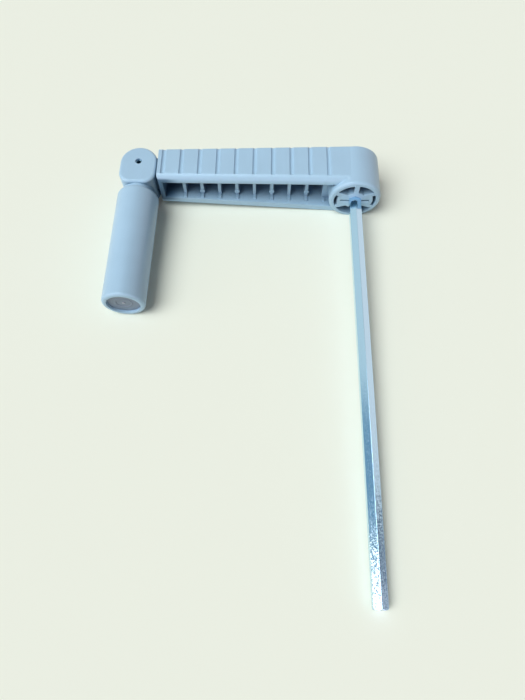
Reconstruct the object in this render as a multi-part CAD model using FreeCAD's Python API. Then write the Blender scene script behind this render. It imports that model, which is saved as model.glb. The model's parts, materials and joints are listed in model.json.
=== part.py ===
import FreeCAD, Part
import math
import os

# Folding crank handle for a blind, in millimetres.
# The origin is on the drive axis, at the flat back of the hub. The rod runs along -Y,
# the arm runs from the hub along -X to the folding hinge, and +Z is up from the
# surface that the handle lies on.

# drive rod, a hexagonal bar with a corner up
rod_across_flats = 7.0
rod_length = 250.0
rod_inner_end = 3.95
rod_end_chamfer = 0.6

# hub, with cores that leave a hexagonal socket on two slit lobes and two spokes
hub_radius = 15.65
hub_depth = 28.55
hub_front_round = 1.9
hub_back_chamfer = 0.8
ring_wall = 2.9
core_floor = 3.2
socket_boss_radius = 6.8
spoke_width = 2.8
lobe_half_at_axis = 3.3
lobe_flare = 0.33
slit_width = 1.9
slit_half_angle = 22.0
split_width = 1.2
split_reach = 8.8
core_corner_round = 0.5

# arm, a channel open to the front
crank_radius = 131.75
arm_half_at_hub = 15.2
arm_half_at_end = 11.2
arm_depth_at_hub = 25.65
arm_depth_at_end = 21.75
arm_wall = 4.7
arm_back_wall = 3.2
arm_top_round = 4.2
arm_bottom_round = 1.2
arm_back_round = 0.8
end_wall = 3.1
end_front_round = 2.0
end_back_round = 0.8

# ribs deep in the channel, each with a low toe on the lower wall, and a round ejector pad
# on every second one
rib_count = 9
rib_pitch = 10.82
rib_nearest_hub = 18.1
rib_thickness = 1.9
rib_reach = 18.35
toe_reach = 3.4
toe_height = 0.8
pad_radius = 1.6
pad_length = 6.0
pad_proud = 0.3
pad_drop = 4.8

# round-bottomed grip grooves on both flat sides
groove_count = 10
groove_pitch = 11.1
groove_nearest_hub = 16.55
groove_radius = 1.45
groove_depth = 0.95
groove_end_margin = 3.4

# folding hinge
hinge_setback = 8.85
fold_opening = 0.9
ear_radius = 11.2
ear_half_height = 10.5
ear_edge_round = 1.8
ear_front_round = 7.8
ear_side_gap = 0.55
tongue_half = 4.0
tongue_radius = 10.2
tongue_front_half = 9.0
tongue_back_half = 8.0
tongue_side_gap = 0.1
slot_end_gap = 0.4
slot_end_wall = 4.8
pin_radius = 2.0
pin_wall = 0.7
pin_slot_width = 0.6
pin_recess = 0.8
pin_chamfer = 0.25
pin_running_gap = 0.05

# cored spindle of the knuckle, bare between the ears and the grip
spindle_bare_length = 2.4
spindle_radius = 9.2
spindle_core_radius = 4.4
spindle_web = 3.0
land_length = 6.0
land_count = 3
journal_radius = 5.4
journal_shoulder_gap = 0.3

# grip, which turns on the spindle
grip_length = 75.0
grip_radius_at_hinge = 12.4
grip_radius_at_end = 12.3
grip_shoulder_round = 3.0
grip_rim_round = 1.8
grip_running_gap = 0.05
grip_end_float = 0.2
lip_thickness = 3.2

# washer and screw that hold the grip on the spindle
washer_radius = 8.0
washer_thickness = 1.2
washer_hole_gap = 0.15
screw_radius = 2.0
screw_length = 16.0
screw_point = 2.5
screw_head_radius = 3.75
screw_head_height = 2.6
screw_head_chamfer = 0.8
recess_reach = 1.9
recess_width = 0.9
recess_depth = 1.2

# end cap, pressed into the grip
cap_radius = 9.6
cap_face = 1.6
cap_sunk = 1.5
cap_skirt_wall = 1.5
cap_skirt_length = 3.4
cap_washer_gap = 0.6
cap_gate_radius = 0.9
cap_gate_height = 0.4

Y = FreeCAD.Vector(0, 1, 0)
Z = FreeCAD.Vector(0, 0, 1)
ORIGIN = FreeCAD.Vector(0, 0, 0)
FORWARD = FreeCAD.Vector(0, -1, 0)
OVERCUT = 5.0

# places along the arm and, from the hinge axis, along the grip
HINGE = FreeCAD.Vector(-crank_radius, -hinge_setback, 0)
ARM_END = ear_radius + ear_side_gap - crank_radius
POCKET_START = ARM_END + end_wall
EAR_INNER = tongue_half + tongue_side_gap
SLOT_END = tongue_radius + slot_end_gap
EAR_FRONT = SLOT_END + slot_end_wall
GRIP_START = EAR_FRONT + spindle_bare_length
GRIP_END = GRIP_START + grip_length
CAP_OUTSIDE = GRIP_END - cap_sunk
CAP_INSIDE = CAP_OUTSIDE - cap_face
CAP_SKIRT_END = CAP_INSIDE - cap_skirt_length
WASHER_OUTSIDE = CAP_SKIRT_END - cap_washer_gap
WASHER_SEAT = WASHER_OUTSIDE - washer_thickness
LIP_OUTSIDE = WASHER_SEAT - grip_end_float
LIP_INSIDE = LIP_OUTSIDE - lip_thickness
SPINDLE_SHOULDER = LIP_INSIDE - journal_shoulder_gap


def point_ahead(base, across, ahead, up=0.0):
    """A point measured from base: across along +X, ahead along -Y and up along +Z."""
    return base + FreeCAD.Vector(across, -ahead, up)


def rounded_wire(corners):
    """A closed wire through corners, each a point and the radius that rounds it."""
    edges = []
    starts = []
    ends = []
    middles = []
    for index, (corner, radius) in enumerate(corners):
        before = (corners[index - 1][0] - corner).normalize()
        after = (corners[(index + 1) % len(corners)][0] - corner).normalize()
        half = before.getAngle(after) / 2
        reach = radius / math.tan(half)
        inward = (before + after).normalize()
        starts.append(corner + before * reach)
        ends.append(corner + after * reach)
        middles.append(corner + inward * (radius / math.sin(half) - radius))
    for index, (corner, radius) in enumerate(corners):
        if radius > 0:
            edges.append(Part.Arc(starts[index], middles[index], ends[index]).toShape())
        following = (index + 1) % len(corners)
        edges.append(Part.makeLine(ends[index], starts[following]))
    return Part.Wire(edges)


def turned(base, corners):
    """A solid of revolution about base's forward axis, from (radius, ahead, round) corners."""
    wire = rounded_wire([(point_ahead(base, r, ahead), rounding) for r, ahead, rounding in corners])
    return Part.Face(wire).revolve(base, Y, 360)


def ring(base, inner, outer, start, end):
    """A plain tube about base's forward axis."""
    return turned(base, [(inner, start, 0), (outer, start, 0), (outer, end, 0), (inner, end, 0)])


def rod_along(base, radius, start, end):
    """A plain round bar about base's forward axis."""
    return Part.makeCylinder(radius, end - start, point_ahead(base, 0, start), FORWARD)


def front_prism(corners, start, end):
    """An outline seen from the front, (x, z, round) corners, carried from start to end depth."""
    wire = rounded_wire([(FreeCAD.Vector(x, -start, z), rounding) for x, z, rounding in corners])
    return Part.Face(wire).extrude(FORWARD * (end - start))


def plan_prism(corners, half_height):
    """An outline seen from above, (x, y, round) corners, carried to both sides of mid-height."""
    wire = rounded_wire([(FreeCAD.Vector(x, y, -half_height), rounding) for x, y, rounding in corners])
    return Part.Face(wire).extrude(Z * (2 * half_height))


def box_between(x_range, y_range, z_range):
    size = [high - low for low, high in (x_range, y_range, z_range)]
    return Part.makeBox(*size, FreeCAD.Vector(x_range[0], y_range[0], z_range[0]))


def both_sides_up(shape):
    """The shape and its mirror image below mid-height."""
    return [shape, shape.mirror(ORIGIN, Z)]


def share_to_end(x):
    """How far x lies from the hub's axis to the arm's end, from 0 to 1."""
    return x / ARM_END


def arm_half(x):
    return arm_half_at_hub + (arm_half_at_end - arm_half_at_hub) * share_to_end(x)


def arm_depth(x):
    return arm_depth_at_hub + (arm_depth_at_end - arm_depth_at_hub) * share_to_end(x)


def hexagon(across_flats):
    """Corners of a hexagon with a corner up, for front_prism."""
    reach = across_flats / math.sqrt(3)
    angles = [math.radians(30 + 60 * k) for k in range(6)]
    return [(reach * math.cos(a), reach * math.sin(a), 0) for a in angles]


def arm_front_view(end, wall, start_depth):
    """The arm's tapered front outline from x = end to the hub's axis, a wall inside its edges."""
    at_end = arm_half(end) - wall
    at_hub = arm_half(0) - wall
    corners = [(end, -at_end, 0), (end, at_end, 0), (0, at_hub, 0), (0, -at_hub, 0)]
    return front_prism(corners, start_depth, hub_depth + OVERCUT)


def arm_plan_view(front_round, back_round):
    """The arm's tapered outline seen from above, from its hinge end to the hub's axis."""
    return plan_prism([
        (ARM_END, 0, back_round),
        (ARM_END, -arm_depth_at_end, front_round),
        (0, -arm_depth_at_hub, 0),
        (0, 0, 0),
    ], 2 * hub_radius)


def long_edges(body, at_front, above):
    """The edges along the arm at its front or back, above or below mid-height."""
    found = []
    for edge in body.Edges:
        middle = edge.CenterOfMass
        lengthwise = edge.BoundBox.XLength > -ARM_END / 2
        if lengthwise and (middle.y < -arm_depth_at_end / 2) == at_front and (middle.z > 0) == above:
            found.append(edge)
    return found


def arm_outside():
    """The arm's tapered body with its rounded edges, before its pockets."""
    body = arm_front_view(ARM_END, 0, 0).common(arm_plan_view(0, 0))
    body = body.makeFillet(arm_top_round, long_edges(body, True, True))
    body = body.makeFillet(arm_bottom_round, long_edges(body, True, False))
    body = body.makeFillet(arm_back_round, long_edges(body, False, True))
    body = body.makeFillet(arm_back_round, long_edges(body, False, False))
    return body.common(arm_plan_view(end_front_round, end_back_round))


def arm_rib(position, with_pad):
    x = -rib_nearest_hub - rib_pitch * position
    half = arm_half(x) - arm_wall / 2
    foot = arm_wall - arm_half(x)
    x_range = (x - rib_thickness / 2, x + rib_thickness / 2)
    middle = -arm_back_wall / 2
    rib = box_between(x_range, (-rib_reach, middle), (-half, half))
    toe = box_between(x_range, (-rib_reach - toe_reach, middle), (-half, foot + toe_height))
    if not with_pad:
        return rib.fuse(toe)
    pad = Part.makeCylinder(
        pad_radius, pad_length, FreeCAD.Vector(x, -rib_reach - pad_proud, -pad_drop), Y)
    return rib.fuse([toe, pad])


def hub_web():
    """The solid root between the hub and the rib that stands nearest to it."""
    half = arm_half(-rib_nearest_hub) - arm_wall / 2
    return box_between((-rib_nearest_hub, 0), (-rib_reach, -arm_back_wall / 2), (-half, half))


def arm_grooves():
    grooves = []
    for position in range(groove_count):
        x = -groove_nearest_hub - groove_pitch * position
        middle = arm_half(x) + groove_radius - groove_depth
        front = groove_end_margin - arm_depth(x)
        cut = Part.makeCylinder(
            groove_radius, OVERCUT - front, FreeCAD.Vector(x, front, middle), Y)
        grooves += both_sides_up(cut)
    return grooves


def hub_cores():
    """The deep openings round the socket, leaving the ring, two spokes and two slit lobes."""
    inner = hub_radius - ring_wall
    far = hub_depth + OVERCUT
    sector = ring(ORIGIN, socket_boss_radius, inner, core_floor, far)
    spoke = box_between((-spoke_width / 2, spoke_width / 2), (-far, 0), (-hub_radius, hub_radius))
    wide = lobe_half_at_axis + lobe_flare * hub_radius
    lobes = front_prism([
        (0, lobe_half_at_axis, 0),
        (hub_radius, wide, 0),
        (hub_radius, -wide, 0),
        (0, -lobe_half_at_axis, 0),
        (-hub_radius, -wide, 0),
        (-hub_radius, wide, 0),
    ], 0, far)
    openings = sector.cut([spoke, lobes])
    lengthwise = [e for e in openings.Edges if abs(e.BoundBox.YLength - (far - core_floor)) < 0.1]
    openings = openings.makeFillet(core_corner_round, lengthwise)
    reach = hub_radius / math.cos(math.radians(slit_half_angle))
    edge = reach * math.sin(math.radians(slit_half_angle))
    wedges = front_prism([
        (0, 0, 0), (hub_radius, edge, 0), (hub_radius, -edge, 0),
    ], core_floor, far)
    wedges = wedges.fuse(wedges.mirror(ORIGIN, FreeCAD.Vector(1, 0, 0)))
    slits = ring(ORIGIN, inner - slit_width, inner, core_floor, far).common(wedges)
    split = box_between((-split_reach, split_reach), (-far, -core_floor), (-split_width / 2, split_width / 2))
    return [openings, slits, split]


def arm():
    body = arm_outside()
    pockets = arm_front_view(POCKET_START, arm_wall, arm_back_wall)
    ribs = [arm_rib(position, position % 2 == 1) for position in range(rib_count)]
    hub = turned(ORIGIN, [
        (0, 0, 0),
        (hub_radius - hub_back_chamfer, 0, 0),
        (hub_radius, hub_back_chamfer, 0),
        (hub_radius, hub_depth, hub_front_round),
        (0, hub_depth, 0),
    ])
    channel = body.cut(arm_grooves()).cut(pockets).fuse(ribs + [hub_web()])
    tongue_eye = Part.makeCylinder(tongue_radius, 2 * tongue_half, HINGE - Z * tongue_half, Z)
    tongue_root = box_between(
        (HINGE.x, POCKET_START - end_wall / 3),
        (HINGE.y - tongue_front_half, HINGE.y + tongue_back_half),
        (-tongue_half, tongue_half))
    solid = channel.fuse([hub, tongue_eye, tongue_root])
    pin_bore = Part.makeCylinder(
        pin_radius + pin_running_gap, 4 * tongue_half, HINGE - Z * (2 * tongue_half), Z)
    socket = front_prism(hexagon(rod_across_flats), rod_inner_end, hub_depth + OVERCUT)
    return solid.cut(hub_cores() + [socket, pin_bore]).removeSplitter()


def drive_rod():
    end = rod_inner_end + rod_length
    corner_radius = rod_across_flats / math.sqrt(3)
    bar = front_prism(hexagon(rod_across_flats), rod_inner_end, end)
    blank = turned(ORIGIN, [
        (0, rod_inner_end, 0),
        (corner_radius, rod_inner_end, 0),
        (corner_radius, end - rod_end_chamfer, 0),
        (corner_radius - rod_end_chamfer, end, 0),
        (0, end, 0),
    ])
    return bar.common(blank)


def ear_block():
    """The block of both ears, round behind the pin, with the space between them still solid."""
    eye = Part.makeCylinder(ear_radius, 2 * ear_half_height, HINGE - Z * ear_half_height, Z)
    front = plan_prism([
        (HINGE.x - ear_radius, HINGE.y, 0),
        (HINGE.x + ear_radius, HINGE.y, 0),
        (HINGE.x + ear_radius, HINGE.y - EAR_FRONT, ear_front_round),
        (HINGE.x - ear_radius, HINGE.y - EAR_FRONT, ear_front_round),
    ], ear_half_height)
    block = eye.fuse(front).removeSplitter()
    rims = [e for e in block.Edges if abs(e.BoundBox.ZLength) < 0.01]
    return block.makeFillet(ear_edge_round, rims)


def spindle_pockets():
    """Cored spaces that leave a cross of webs between the spindle's bearing lands."""
    span = SPINDLE_SHOULDER - GRIP_START
    bay_count = land_count - 1
    bay_length = (span - land_count * land_length) / bay_count
    cuts = []
    for bay in range(bay_count):
        start = GRIP_START + land_length + bay * (bay_length + land_length)
        tube = ring(HINGE, spindle_core_radius, spindle_radius + OVERCUT, start, start + bay_length)
        reach = spindle_radius + 2 * OVERCUT
        upright = box_between(
            (HINGE.x - spindle_web / 2, HINGE.x + spindle_web / 2),
            (HINGE.y - GRIP_END, HINGE.y), (-reach, reach))
        level = box_between(
            (HINGE.x - reach, HINGE.x + reach),
            (HINGE.y - GRIP_END, HINGE.y), (-spindle_web / 2, spindle_web / 2))
        cuts.append(tube.cut([upright, level]))
    return cuts


def knuckle():
    spindle = rod_along(HINGE, spindle_radius, SLOT_END, SPINDLE_SHOULDER)
    journal = rod_along(HINGE, journal_radius, SPINDLE_SHOULDER, WASHER_SEAT)
    slot_reach = ear_radius + OVERCUT
    slot = box_between(
        (HINGE.x - slot_reach, HINGE.x + slot_reach),
        (HINGE.y - SLOT_END, HINGE.y + slot_reach),
        (-EAR_INNER, EAR_INNER))
    pin_bore = Part.makeCylinder(pin_radius, 4 * ear_radius, HINGE - Z * (2 * ear_radius), Z)
    screw_bore = rod_along(HINGE, screw_radius, WASHER_SEAT - screw_length, WASHER_SEAT)
    solid = ear_block().fuse([spindle, journal])
    return solid.cut([slot, pin_bore, screw_bore] + spindle_pockets())


def hinge_pin():
    """A rolled spring pin, slotted along its length."""
    half = ear_half_height - pin_recess
    inner = pin_radius - pin_wall
    outline = [
        (inner, -half), (pin_radius - pin_chamfer, -half), (pin_radius, -half + pin_chamfer),
        (pin_radius, half - pin_chamfer), (pin_radius - pin_chamfer, half), (inner, half),
    ]
    wire = rounded_wire([(HINGE + FreeCAD.Vector(r, 0, z), 0) for r, z in outline])
    tube = Part.Face(wire).revolve(HINGE, Z, 360)
    slot = box_between(
        (HINGE.x - 2 * pin_radius, HINGE.x),
        (HINGE.y - pin_slot_width / 2, HINGE.y + pin_slot_width / 2),
        (-ear_half_height, ear_half_height))
    return tube.cut(slot)


def grip_sleeve():
    bore = spindle_radius + grip_running_gap
    lip_bore = journal_radius + grip_running_gap
    return turned(HINGE, [
        (bore, GRIP_START, 0),
        (grip_radius_at_hinge, GRIP_START, grip_shoulder_round),
        (grip_radius_at_end, GRIP_END, grip_rim_round),
        (cap_radius, GRIP_END, 0),
        (cap_radius, LIP_OUTSIDE, 0),
        (lip_bore, LIP_OUTSIDE, 0),
        (lip_bore, LIP_INSIDE, 0),
        (bore, LIP_INSIDE, 0),
    ])


def spindle_washer():
    return ring(HINGE, screw_radius + washer_hole_gap, washer_radius, WASHER_SEAT, WASHER_OUTSIDE)


def spindle_screw():
    head_end = WASHER_OUTSIDE + screw_head_height
    tip = WASHER_SEAT - screw_length + screw_point
    body = turned(HINGE, [
        (0, tip - screw_point, 0),
        (screw_radius, tip, 0),
        (screw_radius, WASHER_OUTSIDE, 0),
        (screw_head_radius, WASHER_OUTSIDE, 0),
        (screw_head_radius, head_end - screw_head_chamfer, 0),
        (screw_head_radius - screw_head_chamfer, head_end, 0),
        (0, head_end, 0),
    ])
    y_range = (HINGE.y - head_end - OVERCUT, HINGE.y - head_end + recess_depth)
    half = recess_width / 2
    level = box_between((HINGE.x - recess_reach, HINGE.x + recess_reach), y_range, (-half, half))
    upright = box_between((HINGE.x - half, HINGE.x + half), y_range, (-recess_reach, recess_reach))
    return body.cut([level, upright])


def end_cap():
    skirt_inner = cap_radius - cap_skirt_wall
    return turned(HINGE, [
        (0, CAP_INSIDE, 0),
        (skirt_inner, CAP_INSIDE, 0),
        (skirt_inner, CAP_SKIRT_END, 0),
        (cap_radius, CAP_SKIRT_END, 0),
        (cap_radius, CAP_OUTSIDE, 0),
        (cap_gate_radius, CAP_OUTSIDE, 0),
        (cap_gate_radius, CAP_OUTSIDE + cap_gate_height, 0),
        (0, CAP_OUTSIDE + cap_gate_height, 0),
    ])


def opened(shape):
    """The shape turned about the hinge, by the small angle that the grip stands open."""
    shape.rotate(HINGE, Z, -fold_opening)
    return shape


os.makedirs("parts", exist_ok=True)
nodes = {
    "arm": arm(),
    "drive_rod": drive_rod(),
    "knuckle": opened(knuckle()),
    "hinge_pin": opened(hinge_pin()),
    "grip_sleeve": opened(grip_sleeve()),
    "spindle_washer": opened(spindle_washer()),
    "spindle_screw": opened(spindle_screw()),
    "end_cap": opened(end_cap()),
}
for name, shape in nodes.items():
    shape.exportStep("parts/" + name + ".step")
    print(name, len(shape.Solids), "solid", round(shape.Volume, 1), "mm3", shape.isValid())
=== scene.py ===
"""Looks of the folding crank handle: its pieces, their finishes and a plain studio.

The frame holds every rigid piece at its real size. Each piece here is made from its own
solid, with its small triangles joined into smooth surfaces, or is turned anew where the
real one has more detail, and gets a finish of its own.
"""

import json
import math

import bmesh
import bpy
from bpy.props import FloatProperty, FloatVectorProperty, PointerProperty
from mathutils import Matrix, Vector


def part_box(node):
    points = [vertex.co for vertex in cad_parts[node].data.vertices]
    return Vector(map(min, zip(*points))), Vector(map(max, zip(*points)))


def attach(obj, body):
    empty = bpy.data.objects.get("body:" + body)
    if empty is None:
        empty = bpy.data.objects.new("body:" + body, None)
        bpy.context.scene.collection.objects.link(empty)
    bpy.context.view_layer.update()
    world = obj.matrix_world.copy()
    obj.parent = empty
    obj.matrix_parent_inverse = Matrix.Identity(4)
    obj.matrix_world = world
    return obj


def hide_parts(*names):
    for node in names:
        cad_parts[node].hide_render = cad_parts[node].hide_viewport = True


bl_info = {
    "name": "Folding crank handle",
    "version": (1, 0, 0),
    "blender": (4, 5, 0),
    "location": "3D View > Sidebar > Crank handle",
    "description": "Finishes the pieces of a folding crank handle and sets them in a studio",
    "category": "Object",
}

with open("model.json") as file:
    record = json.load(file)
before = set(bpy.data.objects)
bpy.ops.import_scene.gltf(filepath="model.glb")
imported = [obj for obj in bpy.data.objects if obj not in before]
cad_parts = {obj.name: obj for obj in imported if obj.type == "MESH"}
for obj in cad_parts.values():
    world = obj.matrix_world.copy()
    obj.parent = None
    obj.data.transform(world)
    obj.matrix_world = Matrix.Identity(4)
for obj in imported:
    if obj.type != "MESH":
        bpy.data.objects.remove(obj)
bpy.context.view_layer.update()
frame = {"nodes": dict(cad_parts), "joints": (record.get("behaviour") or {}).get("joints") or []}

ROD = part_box("drive_rod")
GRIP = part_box("grip_sleeve")

# The patterns in moulded plastic: their widths in metres, and how far they change its tone
# and its roughness.
PLASTIC_CLOUD = 0.022
PLASTIC_FLOW = 0.0035
FLOW_STRETCH = (1.0, 0.16, 1.0)
CLOUD_TONE = 0.55
FLOW_TONE = 0.25
GRAIN_TONE = 0.20
TONE_RANGE = (0.25, 0.75)
HOLLOW_ROUGH = 0.15
CLOUD_ROUGH = 0.10
GRAIN_ROUGH = 0.14
EDGE_ROUGH = 0.08
PLASTIC_IOR = 1.46

# What counts as a full edge and as a deep hollow, the painted highlight that makes edges paler and the
# painted shade that makes hollows darker.
EDGE_SAMPLES = 8
EDGE_FULL = 0.25
HOLLOW_SAMPLES = 6
HOLLOW_RANGE = (0.30, 0.95)
HIGHLIGHT_LEVEL = 0.92
HIGHLIGHT_SHARE = 0.5
PAINTED_SHADE_LEVELS = (0.12, 0.20, 0.27)

# The painted shade beside the hinge: across from the hinge's axis, and up from the arm's middle.
CREVICE_START = (0.002, 0.009)
CREVICE_END = (0.016, 0.026)
CREVICE_TOP = (0.0085, 0.0100)
SHADE_FADE_END = (0.010, 0.085)
HOLLOW_SHADE = 0.65

# The patterns in the zinc, and how far they change its colour and its roughness.
ZINC_CLOUD = 0.012
DRAWN_LINE = 0.0005
DRAWN_STRETCH = (1.0, 0.02, 1.0)
SPANGLE_AT_HUB = 0.15
CRYSTAL_MIDDLE = (0.5, 0.5, 0.5)
DULL_RANGE = (0.35, 0.75)
DULL_TONE = 0.35
ZINC_CLOUD_TONE = 0.10
DRAWN_TONE = 0.12
DULL_ROUGH = 0.06
ZINC_CLOUD_ROUGH = 0.08
DRAWN_ROUGH = 0.08

# The patterns in the plain steel, and how far they change its colour and its roughness.
TURNED_STRETCH = (0.2, 1.0, 1.0)
STAIN_WIDTH = 0.002
STAIN_RANGE = (0.35, 0.75)
STAIN_LEVEL = 0.72
LINE_ROUGH = 0.2
STAIN_ROUGH = 0.12

# How near corners lie before they are joined, and how finely round shapes are divided.
CAD_MERGE = 0.000002
SPIN_MERGE = 0.000001
SPIN_STEPS = 96
ARC_PARTS = 5

# The cap: the share of its radius outside which its face is flat, the feet of its ring in half
# widths of the ring, and the foot and the fully rubbed middle of its gate mark in its radii.
FACE_START = 0.5
RING_OUTER_FOOT = 2.2
RING_INNER_FOOT = 1.3
GATE_FOOT = 1.15
GATE_CORE = 0.7

# The floor, and how near to their ends the rod and the grip are searched for what lies on it.
FLOOR_MIST = 0.05
FLOOR_DRIFT = 0.003
FLOOR_ROUGHNESS = 0.9
FLOOR_SQUARES = 8
FLOOR_REACH = 1.5
FLOOR_GAP = 0.00005
ROD_TIP = 0.002
GRIP_TIP = 0.004

# The light from all round, and where it changes from low down to high up.
LOW_SKY = (1.75, 0.84, 1.00)
HIGH_SKY = (1.00, 0.98, 0.96)
SKY_RISE = (0.05, 0.75)

# What shiny surfaces show of the room by the way they look, and where each part of it ends.
LEFT_FRONT = (7.0, 5.5, 4.8)
LEFT_FRONT_END = (-0.09, 0.01)
LEFT_MIDDLE = (0.24, 0.37, 0.49)
LEFT_MIDDLE_END = (0.22, 0.36)
LEFT_BACK = (0.77, 0.80, 0.81)
RIGHT_FRONT = (0.72, 0.62, 0.66)
RIGHT_FRONT_END = (-0.02, 0.03)
RIGHT_MIDDLE = (0.12, 0.15, 0.20)
RIGHT_MIDDLE_END = (0.06, 0.13)
RIGHT_BACK = (1.00, 0.87, 0.86)
LEFT_END = (-0.35, 0.35)
FAR_FRONT = (2.4, 1.9, 2.3)
FAR_FRONT_END = (-0.50, -0.20)
OVERHEAD = (0.42, 0.44, 0.46)
OVERHEAD_START = (0.68, 0.84)
LAMP_GLOW = (6.0, 6.0, 6.4)
LAMP_START = (0.91, 0.97)
LAMP_WAY = (-0.30, -0.02, 0.954)

# The camera's sensor in millimetres, and the nearest and farthest that it sees in metres.
SENSOR_WIDTH = 36.0
NEAREST = 0.01
FARTHEST = 20.0


def colour_property(name, description, default):
    return FloatVectorProperty(
        name=name, description=description, default=default, subtype="COLOR", size=3, min=0.0, max=1.0)


def length_property(name, description, default):
    return FloatProperty(
        name=name, description=description, default=default, unit="LENGTH", min=0.0, precision=5)


def share_property(name, description, default):
    return FloatProperty(
        name=name, description=description, default=default, subtype="FACTOR", min=0.0, max=1.0)


def angle_property(name, description, degrees):
    return FloatProperty(
        name=name, description=description, default=math.radians(degrees), subtype="ANGLE")


class ArmPlastic(bpy.types.PropertyGroup):
    """The satin moulded plastic of the arm and the knuckle."""

    colour: colour_property("Colour", "Pale blue-grey of the moulding", (0.353, 0.547, 0.706))
    roughness: share_property("Roughness", "Satin of the moulded skin", 0.34)
    tone_change: share_property("Tone change", "How far the colour drifts over the piece", 0.035)
    grain_size: length_property("Grain size", "Width of one grain of the mould's texture", 0.00032)
    grain_depth: length_property("Grain depth", "Depth of the mould's texture", 0.0000045)
    edge_round: length_property("Edge round", "Small radius on every moulded edge", 0.00028)
    # Painted highlight: the rounded edges are painted paler.
    edge_highlight: share_property("Edge polish", "How much paler the edges are painted as a highlight", 0.10)
    # Painted shade: hollows within the recess reach are painted darker, by up to the recess shade.
    recess_reach: length_property("Recess reach", "Width of the hollows painted darker as shade", 0.020)
    recess_shade: share_property("Recess shade", "How much darker the deepest hollows are", 0.60)
    # Painted shade: the arm's end and the knuckle are painted darker in the crevice between them.
    arm_hinge_shade: share_property("Arm grime", "How much darker the arm's end is beside the hinge", 0.80)
    knuckle_hinge_shade: share_property("Knuckle grime", "How much darker the knuckle is beside the arm", 0.60)


class GripPlastic(bpy.types.PropertyGroup):
    """The slightly smoother plastic of the turning grip."""

    colour: colour_property("Colour", "Pale blue-grey of the grip", (0.353, 0.547, 0.706))
    roughness: share_property("Roughness", "Satin of the grip's skin", 0.30)
    tone_change: share_property("Tone change", "How far the colour drifts over the grip", 0.04)
    grain_size: length_property("Grain size", "Width of one grain of the mould's texture", 0.00030)
    grain_depth: length_property("Grain depth", "Depth of the mould's texture", 0.0000035)
    edge_round: length_property("Edge round", "Small radius on every moulded edge", 0.00030)
    # Painted highlight: the rounded edges are painted paler.
    edge_highlight: share_property("Edge polish", "How much paler the edges are painted as a highlight", 0.10)
    # Painted shade: hollows within the recess reach are painted darker, by up to the recess shade.
    recess_reach: length_property("Recess reach", "Width of the hollows painted darker as shade", 0.006)
    recess_shade: share_property("Recess shade", "How much darker the deepest hollows are", 0.60)


class CapPlastic(bpy.types.PropertyGroup):
    """The darker plastic of the cap in the grip's end."""

    colour: colour_property("Colour", "Darker blue-grey of the cap", (0.170, 0.228, 0.305))
    roughness: share_property("Roughness", "Satin of the cap's skin", 0.34)
    tone_change: share_property("Tone change", "How far the colour drifts over the cap", 0.05)
    grain_size: length_property("Grain size", "Width of one grain of the mould's texture", 0.00030)
    grain_depth: length_property("Grain depth", "Depth of the mould's texture", 0.0000035)
    edge_round: length_property("Edge round", "Small radius on every moulded edge", 0.00020)
    # Painted highlight: the rounded edges are painted paler.
    edge_highlight: share_property("Edge polish", "How much paler the edges are painted as a highlight", 0.50)
    # Painted shade: hollows within the recess reach are painted darker, by up to the recess shade.
    recess_reach: length_property("Recess reach", "Width of the hollows painted darker as shade", 0.005)
    recess_shade: share_property("Recess shade", "How much darker the deepest hollows are", 0.70)


class CapShape(bpy.types.PropertyGroup):
    """The small forms on the cap that is pressed into the grip."""

    wall: length_property("Wall", "Thickness of the cap's skirt", 0.0015)
    face: length_property("Face", "Thickness of the cap's face", 0.0016)
    rim_round: length_property("Rim round", "Radius round the cap's outer edge", 0.0004)
    ring_radius: length_property("Ring radius", "Radius of the raised ring on the face", 0.0046)
    ring_width: length_property("Ring width", "Width of the raised ring", 0.0009)
    ring_height: length_property("Ring height", "Height of the raised ring", 0.00022)
    dish_depth: length_property("Dish depth", "How far the middle lies below the face", 0.00014)
    gate_radius: length_property("Gate radius", "Radius of the gate mark in the middle", 0.0009)
    # Painted highlight: the gate mark in the middle of the cap is painted paler.
    gate_highlight: share_property("Gate polish", "How much paler the gate mark is painted as a highlight", 0.55)


class ZincBar(bpy.types.PropertyGroup):
    """The zinc plating of the drawn hexagonal bar."""

    colour: colour_property("Colour", "Bluish bright zinc", (0.50, 0.75, 0.90))
    dark_colour: colour_property(
        "Dark crystal colour", "Crystals that look away from the light", (0.27, 0.48, 0.64))
    roughness: share_property("Roughness", "Roughness of the plating", 0.10)
    crystal_size: length_property("Crystal size", "Width of one zinc crystal", 0.00040)
    crystal_tilt: share_property("Crystal tilt", "How far the crystals lean from the surface", 0.045)
    spangle_start: length_property("Spangle start", "Distance from the hub where the spangle begins", 0.140)
    spangle_full: length_property("Spangle full", "Distance from the hub where it is strongest", 0.200)
    line_depth: length_property("Line depth", "Depth of the drawing lines", 0.000003)
    edge_round: length_property("Edge round", "Small radius on the bar's corners", 0.00035)


class BrightSteel(bpy.types.PropertyGroup):
    """The plain bright steel of the pin, the washer and the screw."""

    colour: colour_property("Colour", "Plain bright steel", (0.40, 0.68, 0.82))
    roughness: share_property("Roughness", "Roughness of the turned surface", 0.22)
    line_pitch: length_property("Line pitch", "Distance between turning lines", 0.00018)
    line_depth: length_property("Line depth", "Depth of the turning lines", 0.000004)
    edge_round: length_property("Edge round", "Small radius on every edge", 0.00012)


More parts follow.
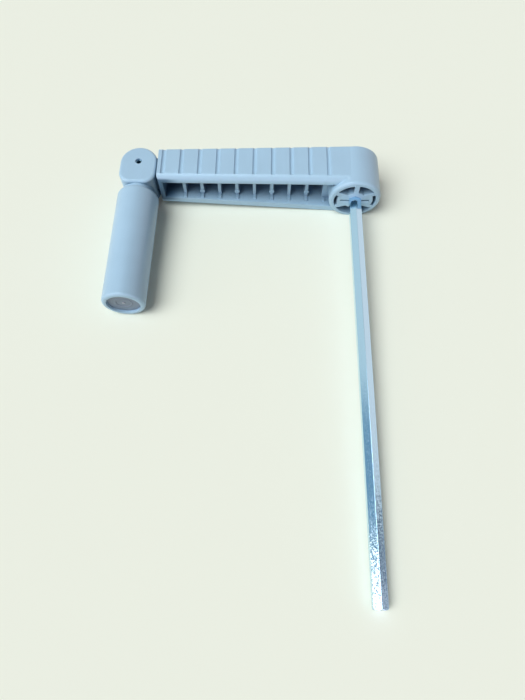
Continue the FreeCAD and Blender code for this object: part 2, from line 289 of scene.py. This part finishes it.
class Studio(bpy.types.PropertyGroup):
    """The floor, the lamps and the camera."""

    floor_colour: colour_property("Floor", "Pale floor", (0.807, 0.868, 0.770))
    sky_share: share_property("Sky share", "Light from all round, the rest comes from the lamps", 0.17)
    window_share: share_property("Window share", "Light that comes in low from the left", 0.035)
    key_lean: angle_property("Key lean", "How far the key lamp leans to the left of overhead", 27)
    key_front: angle_property("Key front", "How far the key lamp leans to the front of overhead", 15.5)
    key_spread: angle_property("Key spread", "Apparent width of the key lamp", 46)
    window_lean: angle_property("Window lean", "How far the low light leans from overhead", 66)
    window_front: angle_property(
        "Window turn", "How far the low light comes round from the left to the front", 15)
    window_spread: angle_property("Window spread", "Apparent width of the low light", 36)
    camera_place: FloatVectorProperty(
        name="Camera", description="Where the camera stands", size=3, subtype="TRANSLATION",
        default=(-0.052666, -0.239125, 0.269795))
    camera_dip: angle_property("Dip", "How far the camera looks down", 67.58)
    camera_turn: angle_property("Turn", "How far the camera turns to the right", -1.14)
    camera_roll: angle_property("Roll", "How far the camera rolls clockwise", 0.424)
    lens_share: FloatProperty(
        name="Lens", description="Focal length as a share of the picture's long side", default=0.77123)


class CrankHandle(bpy.types.PropertyGroup):
    """Every size and colour of the handle's looks that a user would change."""

    arm_plastic: PointerProperty(name="Arm plastic", type=ArmPlastic)
    grip_plastic: PointerProperty(name="Grip plastic", type=GripPlastic)
    cap_plastic: PointerProperty(name="Cap plastic", type=CapPlastic)
    cap_shape: PointerProperty(name="Cap shape", type=CapShape)
    zinc: PointerProperty(name="Zinc bar", type=ZincBar)
    steel: PointerProperty(name="Bright steel", type=BrightSteel)
    studio: PointerProperty(name="Studio", type=Studio)
    smooth_angle: angle_property("Smooth angle", "Edges sharper than this stay crisp", 28)


def handle():
    return bpy.context.scene.crank_handle


def joint_axis(name):
    """A point of the axis that a joint turns on, and the axis's direction."""
    joint = next(joint for joint in frame["joints"] if joint["name"] == name)
    return Vector(joint["pos_m"]), Vector(joint["axis"]).normalized()


class Wire:
    """One output of a shader node, which adds maths nodes when it is used in an expression."""

    def __init__(self, nodes, socket):
        self.nodes = nodes
        self.socket = socket

    def maths(self, operation, first, second):
        return self.nodes.node("ShaderNodeMath", {"operation": operation}, {0: first, 1: second})

    def __add__(self, other):
        return self.maths("ADD", self, other)

    def __radd__(self, other):
        return self.maths("ADD", other, self)

    def __sub__(self, other):
        return self.maths("SUBTRACT", self, other)

    def __rsub__(self, other):
        return self.maths("SUBTRACT", other, self)

    def __mul__(self, other):
        return self.maths("MULTIPLY", self, other)

    def __rmul__(self, other):
        return self.maths("MULTIPLY", other, self)

    def centred(self):
        """From -0.5 to 0.5, where the wire itself goes from 0 to 1."""
        return self - 0.5

    def step(self, low, high):
        """0 below low, 1 above high and a smooth change between them."""
        return self.nodes.node(
            "ShaderNodeMapRange", {"interpolation_type": "SMOOTHSTEP"},
            {"Value": self, "From Min": low, "From Max": high, "To Min": 0.0, "To Max": 1.0})


class Nodes:
    """The shader nodes of a material or of the world."""

    def __init__(self, owner):
        owner.use_nodes = True
        self.tree = owner.node_tree
        self.tree.nodes.clear()

    def node(self, kind, settings=None, sockets=None, output=0):
        """Adds a node, sets it, fills or links its sockets and gives one output."""
        made = self.tree.nodes.new(kind)
        for key, value in (settings or {}).items():
            setattr(made, key, value)
        for key, value in (sockets or {}).items():
            if isinstance(value, Wire):
                self.tree.links.new(value.socket, made.inputs[key])
            else:
                made.inputs[key].default_value = value
        return Wire(self, made.outputs[output]) if made.outputs else None

    def part(self, vector, axis):
        """One number of a vector: its X, Y or Z."""
        return self.node("ShaderNodeSeparateXYZ", {}, {0: vector}, axis)

    def vectors(self, operation, sockets, output="Vector"):
        return self.node("ShaderNodeVectorMath", {"operation": operation}, sockets, output)

    def blend(self, share, first, second):
        """A colour between first and second."""
        return self.node(
            "ShaderNodeMix", {"data_type": "RGBA"}, {0: share, 6: first, 7: second}, output=2)


class Finish(Nodes):
    """A material and its nodes."""

    def __init__(self, name):
        self.material = bpy.data.materials.new(name)
        super().__init__(self.material)

    def place(self):
        return self.node("ShaderNodeTexCoord", output="Object")

    def stretched(self, place, scale):
        return self.node("ShaderNodeMapping", {}, {"Vector": place, "Scale": scale})

    def noise(self, place, width, detail=2.0, rough=0.5):
        """Soft patches about width across, from 0 to 1."""
        return self.node(
            "ShaderNodeTexNoise", {},
            {"Vector": place, "Scale": 1.0 / width, "Detail": detail, "Roughness": rough})

    def softened(self, radius):
        """The surface's direction, with every edge rounded by the radius."""
        return self.node("ShaderNodeBevel", {"samples": EDGE_SAMPLES}, {"Radius": radius})

    def edges(self, soft):
        """1 on the rounded edges and 0 on open faces."""
        flat = self.node("ShaderNodeNewGeometry", output="Normal")
        match = self.vectors("DOT_PRODUCT", {0: soft, 1: flat}, "Value")
        return (1.0 - match).step(0.0, EDGE_FULL)

    def hollows(self, reach, alone):
        """1 in the deepest hollows and 0 on open faces. Alone leaves the other pieces out."""
        open_share = self.node(
            "ShaderNodeAmbientOcclusion", {"samples": HOLLOW_SAMPLES, "only_local": alone},
            {"Distance": reach}, "AO")
        return (1.0 - open_share).step(*HOLLOW_RANGE)

    def bumped(self, height, depth, normal):
        return self.node(
            "ShaderNodeBump", {}, {"Strength": 1.0, "Distance": depth, "Height": height, "Normal": normal})

    def surface(self, **values):
        """The material's shader, from the values or wires of its sockets."""
        shader = self.node("ShaderNodeBsdfPrincipled", {}, {
            key.replace("_", " ").title().replace("Ior", "IOR"): value for key, value in values.items()})
        self.node("ShaderNodeOutputMaterial", {}, {"Surface": shader})
        return self.material


def opaque(colour, share=1.0):
    """A surface's shader colour from a plain one, brighter or darker by a share."""
    return tuple(min(1.0, channel * share) for channel in colour) + (1.0,)


def light(colour, share=1.0):
    """A light's shader colour, which may be brighter than white."""
    return tuple(channel * share for channel in colour) + (1.0,)


def hinge_painted_shade(finish, place, hollow):
    """1 where shade is painted in the crevice between the knuckle and the arm's end, below their upper
    edges.

    It fades out in the hollows along the arm and is 0 elsewhere.
    """
    hinge, axis = joint_axis("grip_fold")
    across = finish.part(place, "X") - hinge.x
    up = finish.part(place, "Z")
    inner, outer = CREVICE_TOP
    beside = across.step(*CREVICE_START) * (1.0 - across.step(*CREVICE_END))
    crevice = beside * up.step(-outer, -inner) * (1.0 - up.step(inner, outer))
    return crevice + hollow * (1.0 - across.step(*SHADE_FADE_END)) * HOLLOW_SHADE


def on_gate(finish, place, shape):
    """1 on the gate mark in the middle of the cap and 0 on the rest of it."""
    base, axis = joint_axis("grip_spin")
    out = finish.vectors("SUBTRACT", {0: place, 1: base})
    out = finish.vectors("CROSS_PRODUCT", {0: out, 1: axis})
    out = finish.vectors("LENGTH", {0: out}, "Value")
    return 1.0 - out.step(shape.gate_radius * GATE_CORE, shape.gate_radius)


def moulded_plastic(name, look, alone=True, hinge_shade=0.0, gate=None):
    """Satin moulded plastic: fine mould texture, a slow drift of tone, edges painted paler as a highlight,
    and hollows painted darker as shade.

    Alone says that only the piece's own walls make its hollows. Hinge shade is the share of painted
    shade beside the hinge. Gate is the shape of a cap whose gate mark is painted pale as a highlight.
    """
    finish = Finish(name)
    place = finish.place()
    soft = finish.softened(look.edge_round)
    edge = finish.edges(soft)
    hollow = finish.hollows(look.recess_reach, alone)
    clouds = finish.noise(place, PLASTIC_CLOUD, detail=3.0)
    flow = finish.noise(finish.stretched(place, FLOW_STRETCH), PLASTIC_FLOW)
    grain = finish.noise(place, look.grain_size, detail=3.0, rough=0.6)
    drift = clouds * CLOUD_TONE + flow * FLOW_TONE + grain * GRAIN_TONE
    tone = finish.blend(
        drift.step(*TONE_RANGE),
        opaque(look.colour, 1.0 - look.tone_change),
        opaque(look.colour, 1.0 + look.tone_change))
    # The colour of the painted highlight on the edges and on the gate mark.
    pale = opaque([channel + (HIGHLIGHT_LEVEL - channel) * HIGHLIGHT_SHARE for channel in look.colour])
    # The colour of the painted shade in the hollows and beside the hinge.
    shade_colour = opaque([channel * level for channel, level in zip(look.colour, PAINTED_SHADE_LEVELS)])
    # Painted highlight along the rounded edges.
    colour = finish.blend(edge * look.edge_highlight, tone, pale)
    # Painted shade in the hollows.
    colour = finish.blend(hollow * look.recess_shade, colour, shade_colour)
    if gate is not None:
        # Painted highlight on the gate mark.
        colour = finish.blend(on_gate(finish, place, gate) * gate.gate_highlight, colour, pale)
    if hinge_shade > 0.0:
        # Painted shade in the crevice beside the hinge and in the hollows near it.
        colour = finish.blend(hinge_painted_shade(finish, place, hollow) * hinge_shade, colour, shade_colour)
    roughness = (
        look.roughness + hollow * HOLLOW_ROUGH + clouds.centred() * CLOUD_ROUGH
        + grain.centred() * GRAIN_ROUGH - edge * EDGE_ROUGH)
    return finish.surface(
        base_color=colour, roughness=roughness, ior=PLASTIC_IOR, specular_ior_level=0.5,
        normal=finish.bumped(grain, look.grain_depth, soft))


def zinc_plating(name, look):
    """Bright zinc on a drawn bar: small crystals that lean each their own way."""
    finish = Finish(name)
    place = finish.place()
    soft = finish.softened(look.edge_round)
    from_hub = finish.part(place, "Y") * -1.0
    spangle = from_hub.step(look.spangle_start, look.spangle_full)
    spangle = spangle * (1.0 - SPANGLE_AT_HUB) + SPANGLE_AT_HUB
    cells = finish.node(
        "ShaderNodeTexVoronoi", {}, {"Vector": place, "Scale": 1.0 / look.crystal_size}, output="Color")
    lean = finish.vectors("SUBTRACT", {0: cells, 1: CRYSTAL_MIDDLE})
    lean = finish.vectors("SCALE", {0: lean, "Scale": spangle * (2.0 * look.crystal_tilt)})
    leaning = finish.vectors("ADD", {0: soft, 1: lean})
    leaning = finish.vectors("NORMALIZE", {0: leaning})
    drawn = finish.noise(finish.stretched(place, DRAWN_STRETCH), DRAWN_LINE)
    clouds = finish.noise(place, ZINC_CLOUD, detail=3.0)
    dull = finish.part(cells, "X").step(*DULL_RANGE) * spangle
    colour = finish.blend(
        dull * DULL_TONE + clouds.centred() * ZINC_CLOUD_TONE + drawn.centred() * DRAWN_TONE,
        opaque(look.colour), opaque(look.dark_colour))
    roughness = (
        look.roughness + dull * DULL_ROUGH + clouds.centred() * ZINC_CLOUD_ROUGH
        + drawn.centred() * DRAWN_ROUGH)
    return finish.surface(
        base_color=colour, metallic=1.0, roughness=roughness,
        normal=finish.bumped(drawn, look.line_depth, leaning))


def turned_steel(name, look):
    """Plain bright steel with fine turning lines and darker stains."""
    finish = Finish(name)
    place = finish.place()
    soft = finish.softened(look.edge_round)
    edge = finish.edges(soft)
    lines = finish.noise(finish.stretched(place, TURNED_STRETCH), look.line_pitch)
    stains = finish.noise(place, STAIN_WIDTH, detail=3.0)
    colour = finish.blend(
        stains.step(*STAIN_RANGE), opaque(look.colour), opaque(look.colour, STAIN_LEVEL))
    roughness = (
        look.roughness + lines.centred() * LINE_ROUGH + stains.centred() * STAIN_ROUGH
        - edge * EDGE_ROUGH)
    return finish.surface(
        base_color=colour, metallic=1.0, roughness=roughness,
        normal=finish.bumped(lines, look.line_depth, soft))


def pale_floor(name, look):
    """The plain floor, almost even."""
    finish = Finish(name)
    mist = finish.noise(finish.place(), FLOOR_MIST)
    colour = finish.blend(
        mist, opaque(look.floor_colour, 1.0 - FLOOR_DRIFT), opaque(look.floor_colour, 1.0 + FLOOR_DRIFT))
    return finish.surface(base_color=colour, roughness=FLOOR_ROUGHNESS, specular_ior_level=0.0)


def added(name, data):
    """A new object in the scene."""
    thing = bpy.data.objects.new(name, data)
    bpy.context.scene.collection.objects.link(thing)
    return thing


def shown(name, shape, finish):
    """A new object in the scene, made from a bmesh and given its finish."""
    mesh = bpy.data.meshes.new(name)
    shape.to_mesh(mesh)
    shape.free()
    mesh.materials.append(finish)
    return added(name, mesh)


def new_piece(name, shape, finish, body, slot, *nodes):
    """Shows a bmesh as a piece that stands for its nodes and moves with their body."""
    piece = shown(name, shape, finish)
    evened = piece.modifiers.new("even_faces", "WEIGHTED_NORMAL")
    evened.keep_sharp = True
    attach(piece, body)
    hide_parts(*nodes)


def mark_smooth(shape):
    """Smooth surfaces, with the sharp edges left crisp."""
    angle = handle().smooth_angle
    for face in shape.faces:
        face.smooth = True
    for edge in shape.edges:
        edge.smooth = edge.calc_face_angle(0.0) < angle


def joined_copy(node):
    """A copy of a node's surface with its triangles joined."""
    shape = bmesh.new()
    shape.from_mesh(frame["nodes"][node].data)
    bmesh.ops.remove_doubles(shape, verts=shape.verts, dist=CAD_MERGE)
    mark_smooth(shape)
    return shape


def arc(middle, radii, start, end):
    """Points of a profile on an arc with two radii, from one angle to the other, in degrees."""
    turns = [math.radians(start + (end - start) * i / ARC_PARTS) for i in range(ARC_PARTS + 1)]
    return [
        (middle[0] + radii[0] * math.cos(turn), middle[1] + radii[1] * math.sin(turn))
        for turn in turns]


def stand(shape, base, axis):
    """Moves a shape that is made round Z to a base and turns it along an axis."""
    turn = axis.to_track_quat("Z", "Y").to_matrix().to_4x4()
    bmesh.ops.transform(shape, matrix=Matrix.Translation(base) @ turn, verts=shape.verts)


def turned(profile, base, axis):
    """A solid from (radius, place along the axis) points that begin and end on the axis."""
    shape = bmesh.new()
    points = [shape.verts.new((radius, 0.0, along)) for radius, along in profile]
    edges = [shape.edges.new(pair) for pair in zip(points, points[1:])]
    bmesh.ops.spin(
        shape, geom=points + edges, cent=(0.0, 0.0, 0.0), axis=(0.0, 0.0, 1.0),
        angle=math.tau, steps=SPIN_STEPS, use_merge=True)
    bmesh.ops.remove_doubles(shape, verts=shape.verts, dist=SPIN_MERGE)
    bmesh.ops.recalc_face_normals(shape, faces=shape.faces)
    stand(shape, base, axis)
    mark_smooth(shape)
    return shape


def turned_cap(look):
    """The grip's cap with its rounded edge, the raised ring on its face and the gate mark."""
    base, axis = joint_axis("grip_spin")
    places = []
    for vertex in frame["nodes"]["end_cap"].data.vertices:
        along = (vertex.co - base).dot(axis)
        places.append(((vertex.co - base - axis * along).length, along))
    radius = max(out for out, along in places)
    outside = max(along for out, along in places if out > radius * FACE_START)
    top = max(along for out, along in places)
    near = min(along for out, along in places)
    skirt = radius - look.wall
    inside = outside - look.face
    edge = look.rim_round
    half = look.ring_width / 2.0
    low = outside - look.dish_depth
    profile = [(0.0, inside), (skirt, inside), (skirt, near), (radius, near)]
    profile += arc((radius - edge, outside - edge), (edge, edge), 0.0, 90.0)
    profile += [(look.ring_radius + half * RING_OUTER_FOOT, outside)]
    profile += arc((look.ring_radius, outside), (half, look.ring_height), 0.0, 150.0)
    profile += [(look.ring_radius - half * RING_INNER_FOOT, low), (look.gate_radius * GATE_FOOT, low)]
    profile += arc((0.0, low), (look.gate_radius, top - low), 0.0, 75.0)
    profile += [(0.0, top)]
    return turned(profile, base, axis)


def give_finish(node, finish):
    """Puts a finish on a node that is shown as it is."""
    mesh = frame["nodes"][node].data
    mesh.materials.clear()
    mesh.materials.append(finish)


class FinishArm(bpy.types.Operator):
    """Shows the arm moulding in satin plastic"""

    bl_idname = "crank_handle.arm"
    bl_label = "Arm"

    def execute(self, context):
        look = handle().arm_plastic
        plastic = moulded_plastic("arm_plastic", look, True, look.arm_hinge_shade)
        new_piece("arm_moulding", joined_copy("arm"), plastic, "arm", "moulded_plastic", "arm")
        return {"FINISHED"}


class FinishRod(bpy.types.Operator):
    """Shows the hexagonal bar in spangled zinc"""

    bl_idname = "crank_handle.rod"
    bl_label = "Drive rod"

    def execute(self, context):
        zinc = zinc_plating("zinc_plating", handle().zinc)
        give_finish("drive_rod", zinc)
        return {"FINISHED"}


class FinishKnuckle(bpy.types.Operator):
    """Shows the folding knuckle and its pin"""

    bl_idname = "crank_handle.knuckle"
    bl_label = "Knuckle and pin"

    def execute(self, context):
        look = handle().arm_plastic
        plastic = moulded_plastic("knuckle_plastic", look, False, look.knuckle_hinge_shade)
        new_piece(
            "knuckle_moulding", joined_copy("knuckle"), plastic, "knuckle", "moulded_plastic", "knuckle")
        steel = turned_steel("pin_steel", handle().steel)
        new_piece("rolled_pin", joined_copy("hinge_pin"), steel, "knuckle", "bright_steel", "hinge_pin")
        return {"FINISHED"}


class FinishGrip(bpy.types.Operator):
    """Shows the turning grip and the cap in its end"""

    bl_idname = "crank_handle.grip"
    bl_label = "Grip and cap"

    def execute(self, context):
        plastic = moulded_plastic("grip_plastic", handle().grip_plastic)
        new_piece("grip_tube", joined_copy("grip_sleeve"), plastic, "grip", "grip_plastic", "grip_sleeve")
        shape = handle().cap_shape
        darker = moulded_plastic("cap_plastic", handle().cap_plastic, False, gate=shape)
        new_piece("grip_cap", turned_cap(shape), darker, "grip", "cap_plastic", "end_cap")
        return {"FINISHED"}


class FinishFasteners(bpy.types.Operator):
    """Shows the washer and the screw inside the grip"""

    bl_idname = "crank_handle.fasteners"
    bl_label = "Washer and screw"

    def execute(self, context):
        steel = turned_steel("fastener_steel", handle().steel)
        give_finish("spindle_washer", steel)
        give_finish("spindle_screw", steel)
        return {"FINISHED"}


def lowest_point(node, forward_of=None):
    """The lowest vertex of a node to the micrometre, or of its part in front of a Y value."""
    points = [v.co for v in frame["nodes"][node].data.vertices]
    if forward_of is not None:
        points = [p for p in points if p.y < forward_of]
    return min(points, key=lambda p: (round(p.z, 6), p.y)).copy()


def rest_plane():
    """A point of the surface that the handle lies on, and that surface's upward direction."""
    hub = lowest_point("arm")
    tip = lowest_point("drive_rod", ROD[0].y + ROD_TIP)
    end = lowest_point("grip_sleeve", GRIP[0].y + GRIP_TIP)
    up = (tip - hub).cross(end - hub).normalized()
    if up.z < 0:
        up.negate()
    return hub - up * FLOOR_GAP, up


def add_floor(look):
    """The plane that the handle lies on."""
    point, up = rest_plane()
    shape = bmesh.new()
    bmesh.ops.create_grid(
        shape, x_segments=FLOOR_SQUARES, y_segments=FLOOR_SQUARES, size=FLOOR_REACH)
    stand(shape, point, up)
    floor = shown("floor", shape, pale_floor("floor_paint", look))


def add_sky(look):
    """Light from all round, warmer low down, and a room of its own for what shines."""
    world = bpy.data.worlds.new("studio_sky")
    bpy.context.scene.world = world
    nodes = Nodes(world)
    way = nodes.node("ShaderNodeTexCoord", output="Generated")
    across = nodes.part(way, "X")
    along = nodes.part(way, "Y")
    height = nodes.part(way, "Z")
    sky = nodes.blend(
        height.step(*SKY_RISE), light(LOW_SKY, look.sky_share), light(HIGH_SKY, look.sky_share))
    left = nodes.blend(along.step(*LEFT_MIDDLE_END), light(LEFT_MIDDLE), light(LEFT_BACK))
    left = nodes.blend(along.step(*LEFT_FRONT_END), light(LEFT_FRONT), left)
    right = nodes.blend(along.step(*RIGHT_FRONT_END), light(RIGHT_FRONT), light(RIGHT_MIDDLE))
    right = nodes.blend(along.step(*RIGHT_MIDDLE_END), right, light(RIGHT_BACK))
    room = nodes.blend(across.step(*LEFT_END), left, right)
    room = nodes.blend(along.step(*FAR_FRONT_END), light(FAR_FRONT), room)
    room = nodes.blend(height.step(*OVERHEAD_START), room, light(OVERHEAD))
    lamp = nodes.vectors("DOT_PRODUCT", {0: way, 1: LAMP_WAY}, "Value")
    room = nodes.blend(lamp.step(*LAMP_START), room, light(LAMP_GLOW))
    shining = nodes.node("ShaderNodeLightPath", output="Is Glossy Ray")
    seen = nodes.node("ShaderNodeLightPath", output="Is Camera Ray")
    colour = nodes.blend(shining, sky, room)
    colour = nodes.blend(seen, colour, opaque(look.floor_colour))
    back = nodes.node("ShaderNodeBackground", {}, {"Color": colour, "Strength": 1.0})
    nodes.node("ShaderNodeOutputWorld", {}, {"Surface": back})


def add_lamp(name, towards, share, spread):
    """A far, broad lamp that gives the floor its share of the light and shows in nothing shiny."""
    data = bpy.data.lights.new(name, "SUN")
    data.energy = share * math.pi / towards.dot(rest_plane()[1])
    data.angle = spread
    lamp = added(name, data)
    lamp.rotation_euler = (-towards).to_track_quat("-Z", "Y").to_euler()
    lamp.visible_glossy = False


def add_lamps(look):
    """A broad key lamp, high up on the left, and weaker light from low on the left."""
    key = Vector((-math.tan(look.key_lean), -math.tan(look.key_front), 1.0)).normalized()
    add_lamp("key", key, 1.0 - look.sky_share - look.window_share, look.key_spread)
    out = math.sin(look.window_lean)
    window = Vector((
        -out * math.cos(look.window_front), -out * math.sin(look.window_front), math.cos(look.window_lean)))
    add_lamp("window", window, look.window_share, look.window_spread)


def add_camera(look):
    """The camera, at the photograph's viewing angle."""
    data = bpy.data.cameras.new("camera")
    data.sensor_width = SENSOR_WIDTH
    data.lens = SENSOR_WIDTH * look.lens_share
    data.clip_start = NEAREST
    data.clip_end = FARTHEST
    camera = added("camera", data)
    dip = look.camera_dip
    turn = look.camera_turn
    roll = look.camera_roll
    ahead = Vector((math.sin(turn) * math.cos(dip), math.cos(turn) * math.cos(dip), -math.sin(dip)))
    right = Vector((math.cos(turn), -math.sin(turn), 0.0))
    down = ahead.cross(right)
    tilted_right = right * math.cos(roll) + down * math.sin(roll)
    tilted_down = down * math.cos(roll) - right * math.sin(roll)
    facing = Matrix((tilted_right, -tilted_down, -ahead)).transposed().to_4x4()
    camera.matrix_world = Matrix.Translation(look.camera_place) @ facing
    bpy.context.scene.camera = camera


class SetStudio(bpy.types.Operator):
    """Sets the floor, the lamps and the camera"""

    bl_idname = "crank_handle.studio"
    bl_label = "Studio"

    def execute(self, context):
        look = handle().studio
        add_floor(look)
        add_sky(look)
        add_lamps(look)
        add_camera(look)
        context.scene.view_settings.view_transform = "Standard"
        return {"FINISHED"}


class HandlePanel(bpy.types.Panel):
    """Lists the handle's pieces and their settings"""

    bl_idname = "VIEW3D_PT_crank_handle"
    bl_label = "Crank handle"
    bl_space_type = "VIEW_3D"
    bl_region_type = "UI"
    bl_category = "Crank handle"

    def draw(self, context):
        settings = handle()
        for piece in PIECES:
            self.layout.operator(piece.bl_idname)
        for group in (
                settings.arm_plastic, settings.grip_plastic, settings.cap_plastic, settings.cap_shape,
                settings.zinc, settings.steel, settings.studio):
            box = self.layout.box()
            for key in group.__annotations__:
                box.prop(group, key)


PIECES = (FinishArm, FinishRod, FinishKnuckle, FinishGrip, FinishFasteners, SetStudio)
CLASSES = (
    ArmPlastic, GripPlastic, CapPlastic, CapShape, ZincBar, BrightSteel, Studio, CrankHandle,
    *PIECES, HandlePanel)


def register():
    for kind in CLASSES:
        bpy.utils.register_class(kind)
    bpy.types.Scene.crank_handle = PointerProperty(type=CrankHandle)


def unregister():
    del bpy.types.Scene.crank_handle
    for kind in reversed(CLASSES):
        bpy.utils.unregister_class(kind)


def main():
    register()
    bpy.ops.crank_handle.arm()
    bpy.ops.crank_handle.rod()
    bpy.ops.crank_handle.knuckle()
    bpy.ops.crank_handle.grip()
    bpy.ops.crank_handle.fasteners()
    bpy.ops.crank_handle.studio()


if __name__ == "__main__":
    main()
